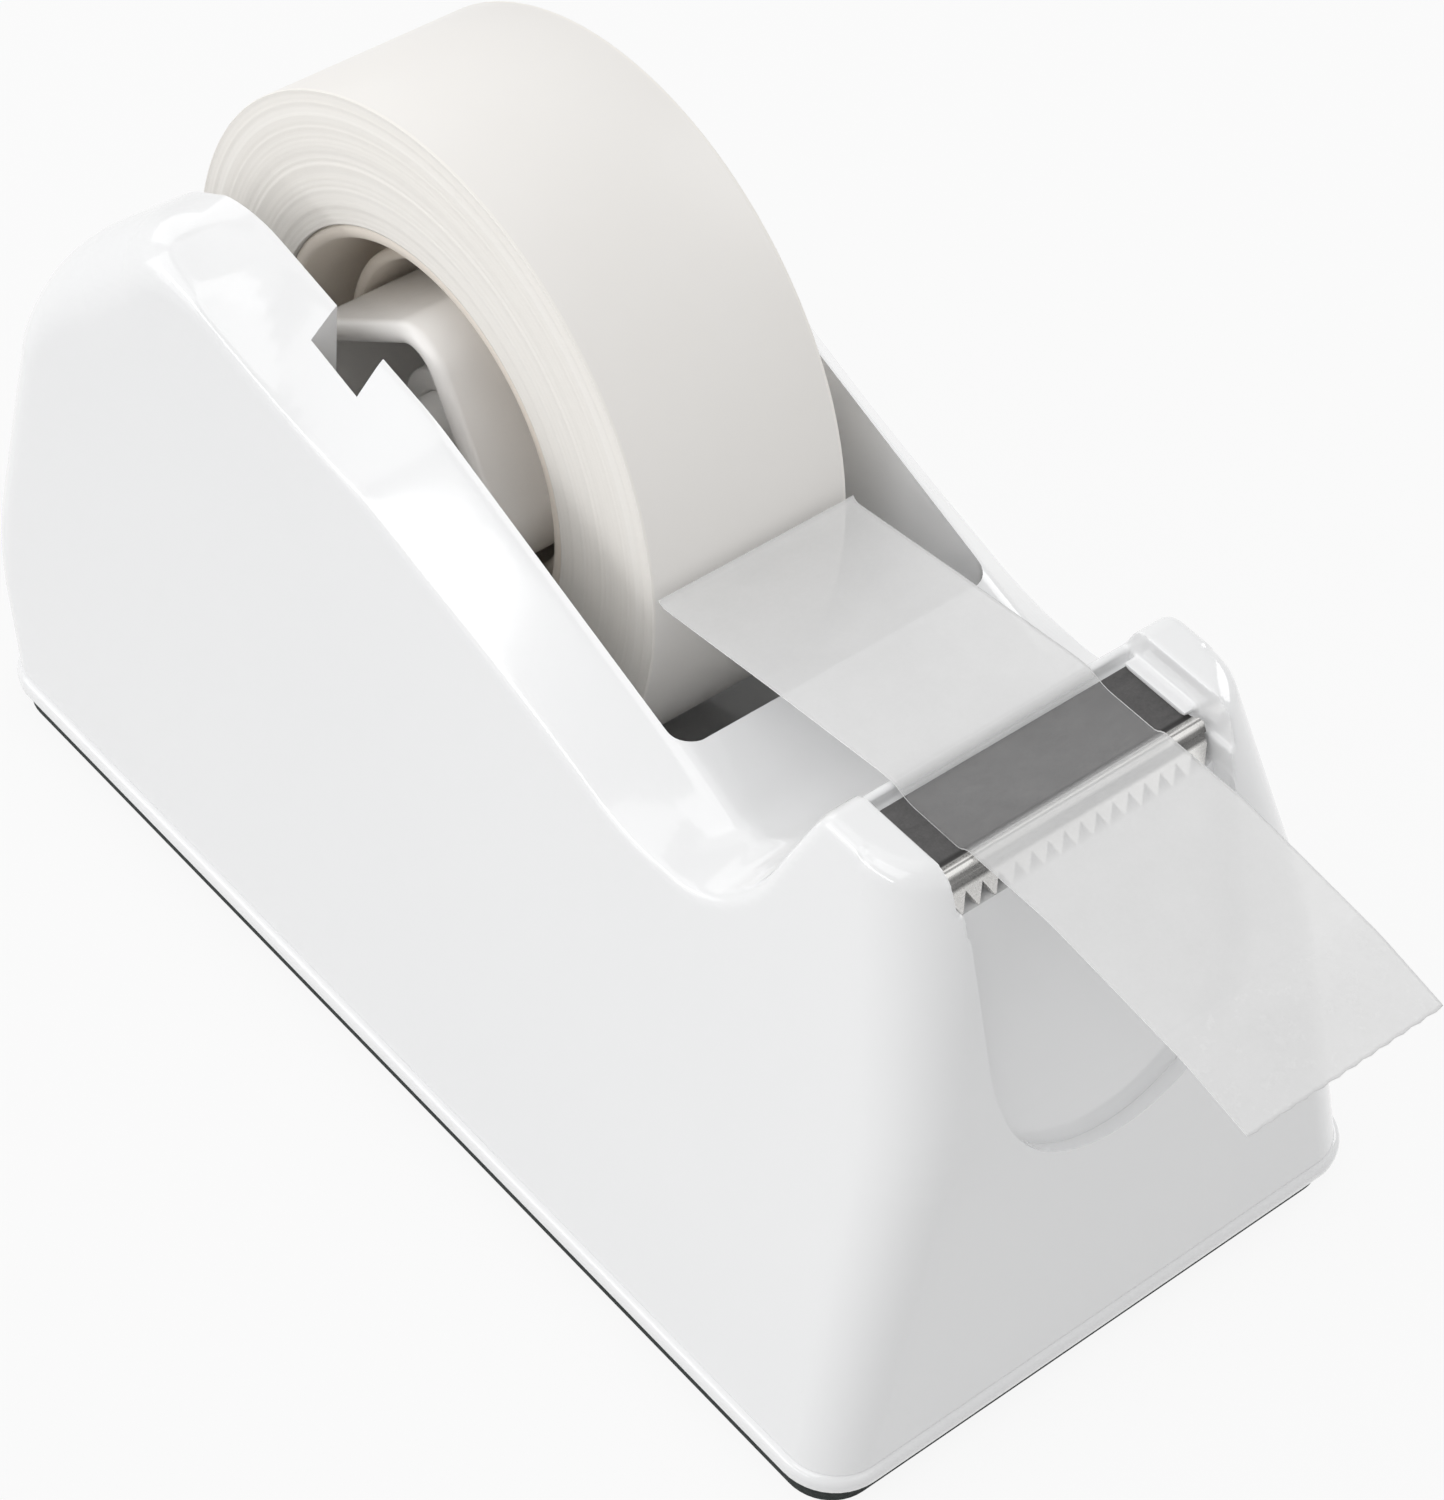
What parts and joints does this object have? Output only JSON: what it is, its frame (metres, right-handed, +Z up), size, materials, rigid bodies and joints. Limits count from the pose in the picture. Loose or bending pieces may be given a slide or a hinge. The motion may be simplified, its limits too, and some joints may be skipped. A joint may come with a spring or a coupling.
{
  "type": "tape dispenser",
  "caption": "Weighted desk tape dispenser with a flared moulded body, a lift-out reel on an axle, a tape roll and a toothed cutter blade.",
  "frame": {"origin": "middle of the base, on the face under the anti-slip mat", "axes": "+X across the width, +Y from the cutter towards the roll, +Z up"},
  "size_m": [0.057, 0.1256, 0.0715],
  "materials": {
    "shell": "semi-gloss moulded",
    "reel_plastic": "semi-gloss moulded",
    "mat": "matt foam",
    "screw": "plated",
    "ballast": "as cast",
    "blade": "stamped, satin",
    "core": "moulded",
    "tape": "wound matt film",
    "tape_film": "translucent matt film"
  },
  "bodies": {
    "body": {"body_shell": "shell", "base_plate": "shell", "anti_slip_mat": "mat", "base_screws": "screw", "ballast_left": "ballast", "ballast_right": "ballast", "ballast_front": "ballast", "cutter_blade": "blade"},
    "axle": {"axle": "reel_plastic", "tape_strip": "tape_film"},
    "reel": {"hub": "reel_plastic", "tape_core": "core", "tape_roll": "tape"}
  },
  "joints": [
    {"name": "reel_lift", "type": "slide", "parent": "body", "child": "axle", "axis": [0, 0, 1], "range_m": [0, 0.05]},
    {"name": "reel_spin", "type": "hinge", "parent": "axle", "child": "reel", "pos_m": [0, 0.0215, 0.043], "axis": [1, 0, 0], "continuous": true}
  ]
}
